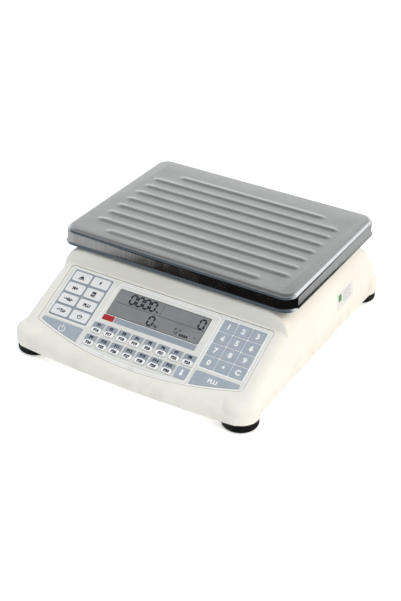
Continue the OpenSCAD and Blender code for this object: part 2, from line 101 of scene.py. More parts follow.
room = bpy.data.worlds.new("room")
scene.world = room
room.use_nodes = True
room.node_tree.nodes.clear()
direction = add_node(room, "TexCoord").outputs["Generated"]
to_right, toward_back, rise = add_node(room, "SeparateXYZ", {0: direction}).outputs
walls = ramp(room, between(room, rise, -1.0, 1.0), (0.0, "#8f8f8f"), (0.5, "#ffffff"), (0.63, "#e8e8e8"),
    (0.74, "#bfbfbf"), (0.83, "#b2b2b2"), (0.93, "#808080"), (1.0, "#707070"))
front_shade = ramp(room, between(room, toward_back, -1.0, 1.0), (0.0, "#58646c"), (0.3, "#707c85"),
    (0.6, "#fbfdff"), (1.0, "#ffffff"))
shade_reach = between(room, rise, 0.45, 0.8, 1.0, 0.15)
walls = mixed(room, shade_reach, walls, front_shade, blend_type="MULTIPLY")
WINDOW_EDGE, WINDOW_COLOUR = 0.2, (1.1, 1.1, 1.1, 1.0)
window_light = 1.0
for along, start in ((to_right, 0.25), (toward_back, 0.4), (rise, 0.1)):
    inside = between(room, along, start, start + WINDOW_EDGE)
    window_light = add_node(room, "Math", {0: inside, 1: window_light}, operation="MULTIPLY").outputs[0]
walls = mixed(room, window_light, walls, WINDOW_COLOUR)
DARK_TURN = math.radians(-34)
dark_side = Vector((math.cos(DARK_TURN), math.sin(DARK_TURN), 0))
side_on = add_node(room, "VectorMath", {0: direction, 1: dark_side}, operation="DOT_PRODUCT").outputs["Value"]
below = ramp(room, between(room, side_on, -0.12, 0.12), (0.0, "#b4b4b4"), (0.44, "#a2a2a1"),
    (0.55, "#8b8a88"), (0.61, "#2a2826"), (0.68, "#141313"), (0.8, "#2b2723"), (1.0, "#161412"))
room_colour = mixed(room, between(room, rise, -0.12, -0.02), below, walls)
backdrop = add_node(room, "Background", {"Color": room_colour, "Strength": 1.25}).outputs[0]
add_node(room, "OutputWorld", {"Surface": backdrop})


def add_sun(name, turn, height, strength, softness, colour):
    """A soft light from a turn about Z and a height in degrees, which isn't mirrored in metal."""
    data = bpy.data.lights.new(name, "SUN")
    data.energy = strength
    data.angle = math.radians(softness)
    data.color = linear(colour)[:3]
    light = bpy.data.objects.new(name, data)
    light.rotation_euler = (math.radians(90 - height), 0, math.radians(turn))
    light.visible_glossy = False
    scene.collection.objects.link(light)


add_sun("key_light", 82, 46, 1.0, 40, "#ffe8ca")
add_sun("top_light", -40, 80, 1.5, 60, "#e4effa")


def start_material(name, **sockets):
    """A material with its shader's own sockets set, and the place on the piece that its patterns read."""
    material = bpy.data.materials.new(name)
    material.use_nodes = True
    shader = material.node_tree.nodes["Principled BSDF"]
    for socket, value in sockets.items():
        shader.inputs[socket.replace("_", " ")].default_value = value
    place = add_node(material, "TexCoord").outputs["Object"]
    return material, shader, place


def feed(material, shader, **sources):
    """Links outputs to the shader's sockets."""
    for socket, source in sources.items():
        material.node_tree.links.new(source, shader.inputs[socket.replace("_", " ")])


def noise(material, place, size_mm, detail=2.0, stretch=(1, 1, 1)):
    """Noise with features of a real size, longer along an axis whose stretch is more than 1."""
    scale = [1 / (size_mm * MM * s) for s in stretch]
    spread = add_node(material, "Mapping", {"Vector": place, "Scale": scale}).outputs[0]
    return add_node(material, "TexNoise", {"Vector": spread, "Scale": 1.0, "Detail": detail}).outputs["Fac"]


def bump(material, height, depth_mm, strength=1.0):
    """Relief of a real depth."""
    return add_node(material, "Bump", {"Height": height, "Distance": depth_mm * MM,
        "Strength": strength}).outputs["Normal"]


def surface(name, tone, colours, gloss=None, grain=None, **sockets):
    """A material that wanders between a darker and a lighter colour.

    tone is the noise's size in mm, its detail and, if it has one, its stretch. gloss is such a noise
    with the least and the most roughness after it, and grain one with the relief's depth in mm and
    its strength.
    """
    material, shader, place = start_material(name, **sockets)
    dark, light = colours
    feed(material, shader,
        Base_Color=ramp(material, noise(material, place, *tone), (0.3, dark), (0.7, light)))
    if gloss:
        *pattern, least, most = gloss
        feed(material, shader,
            Roughness=between(material, noise(material, place, *pattern), 0.3, 0.7, least, most))
    if grain:
        *pattern, depth, strength = grain
        feed(material, shader, Normal=bump(material, noise(material, place, *pattern), depth, strength))
    return material


# Opal acrylic light table: a clean white with only the faintest cloudiness, lit a little from below
opal_acrylic = surface("opal_acrylic", (180, 2), ("#f4f4f4", "#f7f7f7"), Roughness=0.6,
    Specular_IOR_Level=0.2, Emission_Color=(1, 1, 1, 1), Emission_Strength=0.45)
bpy.ops.mesh.primitive_plane_add(size=80)
floor = bpy.context.object
floor.name = "studio_floor"
floor.data.materials.append(opal_acrylic)
floor.visible_glossy = False

CAMERA_TURN, CAMERA_RISE, CAMERA_ROLL = 30.146, 32.082, 1.126
camera = bpy.data.objects.new("camera", bpy.data.cameras.new("camera"))
camera.data.sensor_width = 36
camera.data.lens = 71.44
camera.location = (0.6197, -1.0750, 0.8060)
camera.rotation_euler = (Matrix.Rotation(math.radians(CAMERA_TURN), 3, "Z")
    @ Matrix.Rotation(math.radians(90 - CAMERA_RISE), 3, "X")
    @ Matrix.Rotation(math.radians(CAMERA_ROLL), 3, "Z")).to_euler()
scene.collection.objects.link(camera)
scene.camera = camera

# ---------------------------------------------------------------- Lower housing
# Floor of the case: one moulding in ivory ABS with nuts for the feet, pillars for the board and
# walls round the battery. It drops into the upper housing and six screws hold it from below.


def finish_node(name, material, edge_mm=0.3, segments=2):
    """Gives a node its material and small rounded edges."""
    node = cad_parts[name]
    node.material_slots[0].material = material
    weld = node.modifiers.new("weld", "WELD")
    weld.merge_threshold = 0.00001
    rounding = node.modifiers.new("edges", "BEVEL")
    rounding.width = edge_mm * MM
    rounding.segments = segments
    rounding.limit_method = "ANGLE"
    rounding.angle_limit = math.radians(32)
    rounding.use_clamp_overlap = True
    rounding.miter_outer = "MITER_ARC"


# Ivory ABS, injection moulded against a spark-eroded tool: satin, with a fine even grain, a little
# yellower in patches, and greyer in patches towards the bottom
ivory_abs, shader, place = start_material("ivory_moulded_abs", Roughness=0.42, IOR=1.54)
tone = ramp(ivory_abs, noise(ivory_abs, place, 70, 3), (0.3, "#f4f1e7"), (0.7, "#f8f6ee"))
height = add_node(ivory_abs, "SeparateXYZ", {0: place}).outputs["Z"]
# Patchy greying that is strongest at the skirt and fades out by 34 mm up
low_greying = add_node(ivory_abs, "Math", {0: between(ivory_abs, height, 12 * MM, 34 * MM, 0.35, 0.0),
    1: between(ivory_abs, noise(ivory_abs, place, 16, 5), 0.42, 0.7)}, operation="MULTIPLY").outputs[0]
tone = mixed(ivory_abs, low_greying, tone, linear("#cfc7b6"))
grain = noise(ivory_abs, place, 0.7, 3)
feed(ivory_abs, shader, Base_Color=tone,
    Roughness=between(ivory_abs, noise(ivory_abs, place, 9, 4), 0.3, 0.7, 0.38, 0.48),
    Normal=bump(ivory_abs, grain, 0.03, 0.5))
finish_node("lower_housing", ivory_abs, 0.4)

# ---------------------------------------------------------------- Housing screws
# Six pan-head screws from below, zinc plated, with a cross recess. They bite into the posts of the
# upper housing and their heads sit in pockets of the lower one.


def only(piece):
    """Selects one piece and nothing else."""
    bpy.ops.object.select_all(action="DESELECT")
    piece.select_set(True)
    bpy.context.view_layer.objects.active = piece


@contextlib.contextmanager
def editing(piece):
    """Edit mode on one piece, with all of it selected at the start."""
    only(piece)
    bpy.ops.object.mode_set(mode="EDIT")
    bpy.ops.mesh.select_all(action="SELECT")
    yield
    bpy.ops.object.mode_set(mode="OBJECT")


def pick(piece, kind, wanted):
    """In edit mode, selects the vertices, edges or faces whose centre and normal pass a test."""
    bpy.ops.mesh.select_mode(type=kind)
    bpy.ops.mesh.select_all(action="DESELECT")
    mesh = bmesh.from_edit_mesh(piece.data)
    if kind == "VERT":
        for vertex in mesh.verts:
            vertex.select = wanted(vertex.co)
    elif kind == "EDGE":
        for edge in mesh.edges:
            edge.select = wanted(edge.verts[0].co, edge.verts[1].co)
    else:
        for face in mesh.faces:
            face.select = wanted(face.calc_center_median(), face.normal)
    mesh.select_flush_mode()
    bmesh.update_edit_mesh(piece.data)


def face_outwards(piece):
    """Merges doubles and turns every normal outwards."""
    with editing(piece):
        bpy.ops.mesh.remove_doubles(threshold=0.000001)
        bpy.ops.mesh.normals_make_consistent(inside=False)


def turned(name, centre, profile, sides=48):
    """A round piece built ring by ring up from a disc: its profile is (radius, height) in mm."""
    radius, base = profile[0]
    bpy.ops.mesh.primitive_circle_add(vertices=sides, radius=radius * MM, fill_type="NGON",
        location=(centre[0], centre[1], centre[2] + base * MM))
    piece = bpy.context.object
    piece.name = name
    bpy.ops.object.transform_apply(location=True, rotation=True, scale=True)
    with editing(piece):
        for next_radius, next_height in profile[1:]:
            bpy.ops.mesh.extrude_region_move(
                TRANSFORM_OT_translate={"value": (0, 0, (next_height - base) * MM)})
            size = next_radius / radius
            bpy.ops.transform.resize(value=(size, size, 1), center_override=centre)
            radius, base = next_radius, next_height
    face_outwards(piece)
    return piece


def combine(piece, other, operation="DIFFERENCE"):
    """Cuts one piece with another, or joins them, and removes the other."""
    cutter = piece.modifiers.new("cut", "BOOLEAN")
    cutter.operation = operation
    cutter.solver = "EXACT"
    cutter.object = other
    only(piece)
    bpy.ops.object.modifier_apply(modifier=cutter.name)
    bpy.data.objects.remove(other)


def smooth(piece, degrees=30):
    """Smooth shading, with edges sharper than an angle left crisp."""
    only(piece)
    bpy.ops.object.shade_smooth_by_angle(angle=math.radians(degrees))


def finish_piece(piece, body, material=None, replaces=(), degrees=30):
    """Shades a piece, gives it its material and makes it ride on its body."""
    if material:
        piece.data.materials.clear()
        piece.data.materials.append(material)
    smooth(piece, degrees)
    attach(piece, body)
    if replaces:
        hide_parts(*replaces)
    return piece


# Zinc plate over steel, bright and slightly blue, with fine turning marks and grey wear
zinc_plate = surface("zinc_plated_steel", (3, 4), ("#b4b9bd", "#ced3d6"), gloss=(0.8, 3, 0.22, 0.42),
    grain=(0.4, 2, 0.01, 0.5), Metallic=1.0, Roughness=0.3)
screw_low, screw_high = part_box("housing_screws")
SCREW_HEAD_R, SCREW_HEAD_H, SCREW_R = 4.0, 2.2, 2.0
SCREW_PROFILE = [(3.4, 0.0), (3.8, 0.3), (SCREW_HEAD_R, 0.9), (SCREW_HEAD_R, SCREW_HEAD_H),
    (SCREW_R, SCREW_HEAD_H), (SCREW_R, 13.5), (0.8, 15.0)]
CROSS_SIZE, CROSS_MIDDLE = Vector((4.4, 0.9, 2.6)), Vector((0, 0, 0.3))
screw_x = screw_high.x - SCREW_HEAD_R * MM
pan_low, pan_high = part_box("weighing_pan")
screw_ys = (screw_low.y + SCREW_HEAD_R * MM, (pan_low.y + pan_high.y) / 2, screw_high.y - SCREW_HEAD_R * MM)
screws = []
for side in (-1, 1):
    for y in screw_ys:
        centre = Vector((side * screw_x, y, screw_low.z))
        screw = turned("screw", centre, SCREW_PROFILE)
        for turn in (0, 90):
            bpy.ops.mesh.primitive_cube_add(size=1, location=centre + CROSS_MIDDLE * MM,
                rotation=(0, 0, math.radians(turn)), scale=CROSS_SIZE * MM)
            combine(screw, bpy.context.object)
        screws.append(screw)
only(screws[0])
for screw in screws:
    screw.select_set(True)
bpy.ops.object.join()
screws[0].name = "cross_head_screws"
finish_piece(screws[0], "base", zinc_plate, ("housing_screws",))

# ---------------------------------------------------------------- Levelling feet
# Four black rubber soles moulded round a threaded stud. Each screws into a nut in the floor of the
# case, so turning it raises or lowers its corner.

# Black nitrile rubber: matt, with dust in its grain and paler scuffs
black_rubber, shader, place = start_material("black_nitrile_rubber", Roughness=0.62, Specular_IOR_Level=0.4)
scuffs = between(black_rubber, noise(black_rubber, place, 4, 6), 0.5, 0.78)
feed(black_rubber, shader, Base_Color=ramp(black_rubber, scuffs, (0.0, "#121212"), (1.0, "#3a3936")),
    Roughness=between(black_rubber, scuffs, 0.0, 1.0, 0.5, 0.8),
    Normal=bump(black_rubber, noise(black_rubber, place, 0.6, 4), 0.06, 0.7))
SOLE_PROFILE = [(18.2, 0.0), (19.4, 0.3), (20.6, 1.3), (21.2, 2.8), (21.2, 4.6), (20.9, 5.1), (20.2, 5.3),
    (20.2, 6.0), (20.8, 6.3), (20.9, 6.8), (20.7, 9.0), (20.0, 10.3), (18.6, 10.9), (6.0, 11.0)]
THREAD_PITCH, THREAD_DEPTH, STUD_R = 1.25, 0.6, 4.0
STUD_FOOT_Z, THREAD_LOW_Z, THREAD_TOP_Z, STUD_TOP_Z = 10.8, 11.2, 30.6, 31.0
thread_turns = int((THREAD_TOP_Z - THREAD_LOW_Z) / THREAD_PITCH)
for foot in ("foot_front_left", "foot_front_right", "foot_rear_left", "foot_rear_right"):
    low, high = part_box(foot)
    centre = Vector(((low.x + high.x) / 2, (low.y + high.y) / 2, low.z))
    sole = turned(foot + "_sole", centre, SOLE_PROFILE, 96)
    thread = [(STUD_R - THREAD_DEPTH, STUD_FOOT_Z)]
    for i in range(thread_turns):
        start = THREAD_LOW_Z + i * THREAD_PITCH
        thread += [(STUD_R - THREAD_DEPTH, start), (STUD_R, start + 0.45 * THREAD_PITCH),
            (STUD_R, start + 0.55 * THREAD_PITCH)]
    thread += [(STUD_R - THREAD_DEPTH, THREAD_TOP_Z), (STUD_R - 2 * THREAD_DEPTH, STUD_TOP_Z)]
    stud = turned(foot + "_stud", centre, thread, 32)
    finish_piece(sole, foot, black_rubber, (foot,), 40)
    finish_piece(stud, foot, zinc_plate)

# ---------------------------------------------------------------- Chassis, load cell and electronics
# Steel plate with a pedestal, and the aluminium beam bolted to it that bends under the load. The
# main board, the sealed battery and the inlet socket lie round them, all inside the case.

# Cold-rolled steel sheet, nickel plated: grey and even, with rolling lines along Y
plated_sheet = surface("nickel_plated_sheet", (0.7, 3, (1, 30, 1)), ("#a7a8a6", "#bfc0be"),
    gloss=(14, 4, 0.28, 0.45), Metallic=1.0, Roughness=0.35)
# Milled aluminium, clear anodised: pale, with fine cutter lines across the beam
milled_aluminium = surface("milled_aluminium", (0.5, 2, (20, 1, 1)), ("#c4c6c7", "#d8dadb"),
    grain=(0.5, 2, (20, 1, 1), 0.02, 0.6), Metallic=1.0, Roughness=0.38)
# Blackened steel bolts: oiled black with brown highlights on the corners
black_oxide = surface("black_oxide_steel", (2, 4), ("#34343a", "#55504b"), grain=(0.5, 2, 0.02, 0.5),
    Metallic=1.0, Roughness=0.45)
# Glass-fibre board with green solder resist: glossy, with darker tracks on a square grid
solder_resist, shader, place = start_material("green_solder_resist", Roughness=0.3, Coat_Weight=0.4)
tracks = add_node(solder_resist, "TexBrick", {"Vector": place, "Scale": 1 / (8 * MM), "Mortar Size": 0.06,
    "Color1": linear("#1f6b43"), "Color2": linear("#237249"), "Mortar": linear("#0f4a2c")},
    offset=0.37).outputs[0]
feed(solder_resist, shader, Base_Color=tracks,
    Normal=bump(solder_resist, noise(solder_resist, place, 1.2, 2), 0.03, 0.4))
# Battery case: black polypropylene, semi-gloss with flow marks
battery_case = surface("black_polypropylene", (20, 3, (1, 1, 3)), ("#1d1f22", "#2a2d31"),
    grain=(0.8, 3, 0.03, 0.5), Roughness=0.4)
finish_node("chassis_plate", plated_sheet, 0.3)
finish_node("load_cell", milled_aluminium, 0.4)
finish_node("cell_base_bolts", black_oxide, 0.3)
finish_node("main_board", solder_resist, 0.1)
finish_node("battery", battery_case, 0.8)
# Inlet body: black nylon, matt with a fine grain
socket_nylon = surface("black_nylon", (2, 3), ("#141414", "#242424"), grain=(0.3, 2, 0.03, 0.6),
    Roughness=0.5)
finish_node("power_inlet", socket_nylon, 0.25)

# ---------------------------------------------------------------- Upper housing
# Skirt, console, deck and sloping back in one ivory ABS moulding, 3 mm thick, with round bosses
# over the feet. The film keypad lies in a shallow recess and four posts come up through the deck.
HALF_W, HALF_D, SKIRT_Z, DECK_Z = 158.0, 185.0, 12.0, 97.5
WALL = 3.0
END_BOW, SIDE_LEAN, LEAN_TOP_Z = 8.0, 7.0, 81.5
CORNER_R, CORNER_BOW = 22.0, 0.74  # the round corner's radius, and the share of the end bow there
CONSOLE_TILT = math.radians(26.5)
RECESS = 0.6
PANEL_L, PANEL_W, PANEL_BOW, PANEL_T = 81.4, 274.8, 22.0, 1.7
FRONT_R, RISER_FOOT_R, RISER_TOP_R, REAR_TOP_R, REAR_BREAK_R = 16.0, 2.4, 5.0, 26.0, 14.0
RISER_GAP, RISER_LEAN, LOWER_LEAN, REAR_BREAK_Z = 2.2, 2.0, 5.0, 32.0
REAR_TILT = math.radians(50)
SHOULDER_R, DECK_SHOULDER_R = 13.0, 28.0

overlay_low, overlay_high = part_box("keypad_overlay")
console_y = overlay_low.y / MM + PANEL_BOW * math.cos(CONSOLE_TILT)
console_z = overlay_high.z / MM - PANEL_L * math.sin(CONSOLE_TILT)
riser_y = console_y + PANEL_L * math.cos(CONSOLE_TILT) + RISER_GAP
rear_top_y = HALF_D - LOWER_LEAN - (DECK_Z - REAR_BREAK_Z) / math.tan(REAR_TILT)
console = (Matrix.Translation(Vector((0, console_y, console_z)) * MM)
    @ Matrix.Rotation(CONSOLE_TILT, 4, "X") @ Matrix.Scale(MM, 4))


def console_face_z(y):
    """Height of the console round the keypad, in mm."""
    return console_z + RECESS / math.cos(CONSOLE_TILT) + (y - console_y) * math.tan(CONSOLE_TILT)


riser_foot_z = console_face_z(riser_y)


def fillet(before, corner, after, radius, steps):
    """Points that round a corner between two straight edges."""
    to_before = (before - corner).normalized()
    to_after = (after - corner).normalized()
    half_angle = to_before.angle(to_after) / 2
    middle = corner + (to_before + to_after).normalized() * (radius / math.sin(half_angle))
    first = corner + to_before * (radius / math.tan(half_angle)) - middle
    last = corner + to_after * (radius / math.tan(half_angle)) - middle
    swing = first.angle_signed(last)
    return [middle + Matrix.Rotation(-swing * i / steps, 2) @ first for i in range(steps + 1)]


def spread(points, index, count):
    """Splits one edge of an outline into equal lengths."""
    first, last = points[index], points[index + 1]
    return points[:index + 1] + [first.lerp(last, i / count) for i in range(1, count)] + points[index + 1:]


def side_profile(x):
    """The housing's outline over the top, front edge to rear edge, at a distance from the middle."""
    bow = END_BOW * (x / HALF_W) ** 2
    front, back = -HALF_D + bow, HALF_D - bow
    break_y = back - LOWER_LEAN
    break_z = DECK_Z - (break_y - rear_top_y) * math.tan(REAR_TILT)
    corners = [Vector(p) for p in ((front, SKIRT_Z), (front, console_face_z(front)),
        (riser_y, console_face_z(riser_y)), (riser_y + RISER_LEAN, DECK_Z), (rear_top_y, DECK_Z),
        (break_y, break_z), (back, SKIRT_Z))]
    points = [corners[0]]
    radii = (FRONT_R, RISER_FOOT_R, RISER_TOP_R, REAR_TOP_R, REAR_BREAK_R)
    round_steps = (8, 4, 6, 7, 5)
    face_steps = (6, 3, 8, 4)
    straight_at = []
    for i, (radius, count) in enumerate(zip(radii, round_steps), start=1):
        straight_at.append(len(points) - 1)
        points += fillet(corners[i - 1], corners[i], corners[i + 1], radius, count)
    points.append(corners[-1])
    for start, count in reversed(list(zip(straight_at[1:], face_steps))):
        points = spread(points, start, count)
    return points


def side_x(z):
    """Distance of the housing's side from the middle, which leans in as it rises."""
    return HALF_W - SIDE_LEAN * (z - SKIRT_Z) / (LEAN_TOP_Z - SKIRT_Z)


def corner_inset(y):
    """How far the housing's side comes in where it rounds towards the front and the back."""
    into = abs(y) - (HALF_D - END_BOW * CORNER_BOW - CORNER_R)
    return 0 if into <= 0 else CORNER_R - math.sqrt(max(CORNER_R ** 2 - min(into, CORNER_R) ** 2, 0))


TOP_COLUMNS, ARC_COLUMNS, WALL_COLUMNS = 24, 8, 3
# Shares of the half width at which the shoulder's height and the corner's place are read
SHOULDER_AT, CORNER_AT = 0.9, 0.95
# The shoulder's radius is at most this share of its height over the skirt's edge, and at least this
SHOULDER_SHARE, LEAST_R = 0.6, 0.1


def housing_columns():
    """The places across the housing, as (part, share along that part), for the right half."""
    top = [("top", i / TOP_COLUMNS) for i in range(TOP_COLUMNS + 1)]
    arc = [("arc", (i + 1) / ARC_COLUMNS) for i in range(ARC_COLUMNS)]
    wall = [("wall", (i + 1) / WALL_COLUMNS) for i in range(WALL_COLUMNS)]
    return top + arc + wall


def housing_point(row, column, side):
    """A point of the housing's outside in mm."""
    part, share = column
    top_z = side_profile(HALF_W * SHOULDER_AT)[row].y
    riser = min(max((top_z - riser_foot_z) / (DECK_Z - riser_foot_z), 0), 1)
    radius = SHOULDER_R + (DECK_SHOULDER_R - SHOULDER_R) * riser
    radius = max(min(radius, (top_z - SKIRT_Z) * SHOULDER_SHARE), LEAST_R)
    pull = corner_inset(side_profile(HALF_W * CORNER_AT)[row].x)
    arc_x = side_x(top_z - radius) - radius - pull
    if part == "top":
        x = arc_x * share
        y, z = side_profile(x)[row]
        return Vector((side * x, y, z))
    angle = math.radians(90 * (share if part == "arc" else 1))
    x = arc_x + radius * math.sin(angle)
    y, z = side_profile(x)[row]
    z = z - radius + radius * math.cos(angle)
    if part == "wall":
        z += (SKIRT_Z - z) * share
        x += (HALF_W - pull - x) * share
    return Vector((side * x, y, max(z, SKIRT_Z)))


def housing_block():
    """The outside of the housing as a closed block: a grid laid over the form, then filled below."""
    rows = len(side_profile(0))
    right = housing_columns()
    across = [(c, -1) for c in reversed(right[1:])] + [(c, 1) for c in right]
    bpy.ops.mesh.primitive_grid_add(x_subdivisions=len(across) - 1, y_subdivisions=rows - 1, size=1)
    block = bpy.context.object
    for vertex in block.data.vertices:
        column, side = across[round((vertex.co.x + 0.5) * (len(across) - 1))]
        row = round((vertex.co.y + 0.5) * (rows - 1))
        vertex.co = housing_point(row, column, side) * MM
    with editing(block):
        bpy.ops.mesh.remove_doubles(threshold=0.00002)
        bpy.ops.mesh.select_all(action="DESELECT")
        bpy.ops.mesh.select_non_manifold()
        bpy.ops.mesh.fill()
    face_outwards(block)
    return block


shell = housing_block()
shell.name = "housing_shell"

hollow = shell.copy()
hollow.data = shell.data.copy()
scene.collection.objects.link(hollow)
with editing(hollow):
    bpy.ops.transform.shrink_fatten(value=-WALL * MM, use_even_offset=True)
for vertex in hollow.data.vertices:
    if vertex.co.z < (SKIRT_Z + WALL + 1) * MM:
        vertex.co.z = (SKIRT_Z - 20) * MM

BOSS_PROFILE = [(22.0, 12.0), (22.0, 25.5), (21.6, 27.6), (20.6, 29.5), (19.1, 31.2), (17.0, 32.6),
    (14.0, 33.5), (10.0, 33.9), (5.0, 34.0)]
BOSS_HOLLOW = [(19.0, 0.0), (19.0, 25.5), (18.6, 27.0), (17.4, 28.6), (15.0, 29.8)]
foot_low, foot_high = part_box("foot_front_right")
foot_x, foot_y = (foot_low.x + foot_high.x) / 2, -(foot_low.y + foot_high.y) / 2
for side in (-1, 1):
    for end in (-1, 1):
        centre = Vector((side * foot_x, end * foot_y, 0))
        combine(shell, turned("boss", centre, BOSS_PROFILE, 72), "UNION")
        combine(hollow, turned("boss_hollow", centre, BOSS_HOLLOW, 72), "UNION")
combine(shell, hollow)


def put(piece, matrix):
    """Takes a piece drawn on a plane to its place, keeping its object at the origin."""
    piece.data.transform(matrix)
    piece.data.update()
    return piece


def prism(name, outline, low, high):
    """A thin or tall plate with an outline given as (x, y) points, from one height to another."""
    bpy.ops.mesh.primitive_circle_add(vertices=len(outline), fill_type="NGON")
    piece = bpy.context.object
    piece.name = name
    for vertex, (x, y) in zip(piece.data.vertices, outline):
        vertex.co = (x, y, low)
    with editing(piece):
        bpy.ops.mesh.extrude_region_move(TRANSFORM_OT_translate={"value": (0, 0, high - low)})
    face_outwards(piece)
    return piece


PRINT_T = 0.04


def ink(name, outline, low=0.0):
    """A printed shape, one coat thick."""
    return prism(name, outline, low, low + PRINT_T)


def fix_on(piece, place, material):
    """Takes a piece drawn on a plane to its place on the case, which it stays on."""
    return finish_piece(put(piece, place), "base", material)


def rounded_outline(x, y, width, length, radius, steps=6):
    """An anticlockwise rectangle with round corners, about its centre."""
    points = []
    for quarter, (sx, sy) in enumerate(((1, 1), (-1, 1), (-1, -1), (1, -1))):
        for i in range(steps + 1):
            angle = math.radians(90 * (quarter + i / steps))
            points.append((x + sx * (width / 2 - radius) + radius * math.cos(angle),
                y + sy * (length / 2 - radius) + radius * math.sin(angle)))
    return points


def round_outline(diameter, steps):
    """A circle's outline about the origin."""
    return rounded_outline(0, 0, diameter, diameter, diameter / 2 - 0.01, steps)


def bowed_outline(left, right, top, border, radius=4.0, steps=5, arc_points=40):
    """An outline with a straight top and a lower edge on the keypad's bow, less a border."""
    bow_r = (PANEL_W ** 2 / 4 + PANEL_BOW ** 2) / (2 * PANEL_BOW)
    middle_y = bow_r - PANEL_BOW

    def bottom(x):
        return middle_y - math.sqrt((bow_r - border) ** 2 - x * x)

    points = []
    for sx, x, y in ((1, right, top), (-1, left, top)):
        for i in range(steps + 1):
            angle = math.radians(90 * (i / steps + (0 if sx > 0 else 1)))
            points.append((x - sx * radius + radius * math.cos(angle), y - radius + radius * math.sin(angle)))
    low_left, low_right = left + radius, right - radius
    corner_y = bottom(low_left) + radius
    for i in range(steps):
        angle = math.radians(180 + 75 * i / steps)
        points.append((low_left + radius * math.cos(angle), corner_y + radius * math.sin(angle)))
    for i in range(arc_points + 1):
        x = low_left + (low_right - low_left) * i / arc_points
        points.append((x, bottom(x)))
    corner_y = bottom(low_right) + radius
    for i in range(steps):
        angle = math.radians(285 + 75 * (i + 1) / steps)
        points.append((low_right + radius * math.cos(angle), corner_y + radius * math.sin(angle)))
    return points


def panel_outline(border):
    """Outline of the keypad overlay, less a border."""
    half = PANEL_W / 2 - border
    return bowed_outline(-half, half, PANEL_L - border, border)


RECESS_GAP, LEDGE_W, CLEAR = 0.7, 5.0, 20.0
combine(shell, put(prism("recess", panel_outline(-RECESS_GAP), -PANEL_T - 0.02, CLEAR), console))
combine(shell, put(prism("opening", panel_outline(LEDGE_W), -CLEAR, CLEAR), console))
bumper_low, bumper_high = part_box("pan_bumpers")
BUMPER_R, POST_HOLE_R = 10.0, 9.0
post_places = [Vector((x, y, 0)) for x in (bumper_low.x + BUMPER_R * MM, bumper_high.x - BUMPER_R * MM)
    for y in (bumper_low.y + BUMPER_R * MM, bumper_high.y - BUMPER_R * MM)]
for place_under in post_places:
    combine(shell, turned("post_hole", place_under, [(POST_HOLE_R, DECK_Z - 20), (POST_HOLE_R, DECK_Z + 5)]))

window_low, window_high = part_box("rear_window")
rear = (Matrix.Translation((window_low + window_high) / 2) @ Matrix.Rotation(math.pi, 4, "Z")
    @ Matrix.Rotation(REAR_TILT, 4, "X") @ Matrix.Scale(MM, 4) @ Matrix.Translation((0, 0, 0.5)))
combine(shell, put(prism("window_recess", rounded_outline(0, 0, 150.8, 46.8, 4), -1.02, CLEAR),
    rear))
combine(shell, put(prism("window_opening", rounded_outline(0, 0, 123.4, 35.6, 2), -CLEAR, CLEAR), rear))
inlet_low, inlet_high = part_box("power_inlet")
inlet_middle = (inlet_low + inlet_high) / 2
inlet = (Matrix.Translation((inlet_middle.x, inlet_high.y, inlet_middle.z))
    @ Matrix.Rotation(-math.pi / 2, 4, "X") @ Matrix.Scale(MM, 4))
combine(shell, put(prism("inlet_hole", round_outline(11.6, 10), -CLEAR, CLEAR), inlet))
finish_piece(shell, "base", ivory_abs, ("upper_housing",), 28)

# Nickel-plated pin and sleeve inside the inlet
contacts = prism("inlet_contacts", round_outline(2.06, 5), -12, -0.97)
sleeve = prism("sleeve", round_outline(5.58, 8), -10.9, -1.2)
combine(sleeve, prism("inside", round_outline(5.2, 8), -12, 0))
combine(contacts, sleeve, "UNION")
fix_on(contacts, inlet, plated_sheet)

# ---------------------------------------------------------------- Keypad circuit and display module
# Switch board glued behind the film, and the liquid crystal display that stands up through it into
# the window. The display shows three fields between thin rules: weight, unit price and price.
finish_node("keypad_circuit", solder_resist, 0.1)

# Polariser film over the display: mid grey with a faint cloud and a fine glare coat
polariser = surface("grey_lcd_polariser", (30, 3), ("#838487", "#8f9093"), gloss=(0.4, 2, 0.3, 0.42),
    Roughness=0.35, Specular_IOR_Level=0.35)
# Switched liquid crystal: near-black with a violet cast, a little uneven
dark_crystal = surface("dark_liquid_crystal", (4, 2), ("#1e2027", "#2c2e36"), Roughness=0.35,
    Specular_IOR_Level=0.2)
finish_node("lcd_module", polariser, 0.1)
finish_node("rear_display", polariser, 0.1)

GLASS_TOP_INSET, GLASS_L = 10.6, 34.8
GLASS_Y = PANEL_L - GLASS_TOP_INSET - GLASS_L / 2
SEGMENTS = {"a": (0, 1, 1, 1), "b": (1, 1, 1, 0.5), "c": (1, 0.5, 1, 0), "d": (0, 0, 1, 0),
    "e": (0, 0.5, 0, 0), "f": (0, 1, 0, 0.5), "g": (0, 0.5, 1, 0.5)}


def join(name, parts):
    """Makes several pieces one."""
    bpy.ops.object.select_all(action="DESELECT")
    for part in parts:
        part.select_set(True)
    bpy.context.view_layer.objects.active = parts[0]
    bpy.ops.object.join()
    parts[0].name = name
    return parts[0]


def bar(first, last, thickness, low, pointed=True):
    """A straight printed bar, with pointed ends like a display's segment."""
    a, b = Vector(first), Vector(last)
    along = (b - a).normalized() * thickness / 2
    across = Vector((-along.y, along.x))
    if pointed:
        outline = [a, a + along - across, b - along - across, b, b - along + across, a + along + across]
    else:
        outline = [a - across, b - across, b + across, a + across]
    return ink("bar", outline, low)


def seven_segments(lit, x, y, height, low):
    """A seven-segment figure from its lower left corner."""
    width, thickness = height * 0.54, height * 0.19
    parts = []
    for name in lit:
        x0, y0, x1, y1 = SEGMENTS[name]
        a = Vector((x + x0 * width, y + y0 * height))
        b = Vector((x + x1 * width, y + y1 * height))
        gap = (b - a).normalized() * thickness * 0.12
        parts.append(bar(a + gap, b - gap, thickness, low))
    return parts


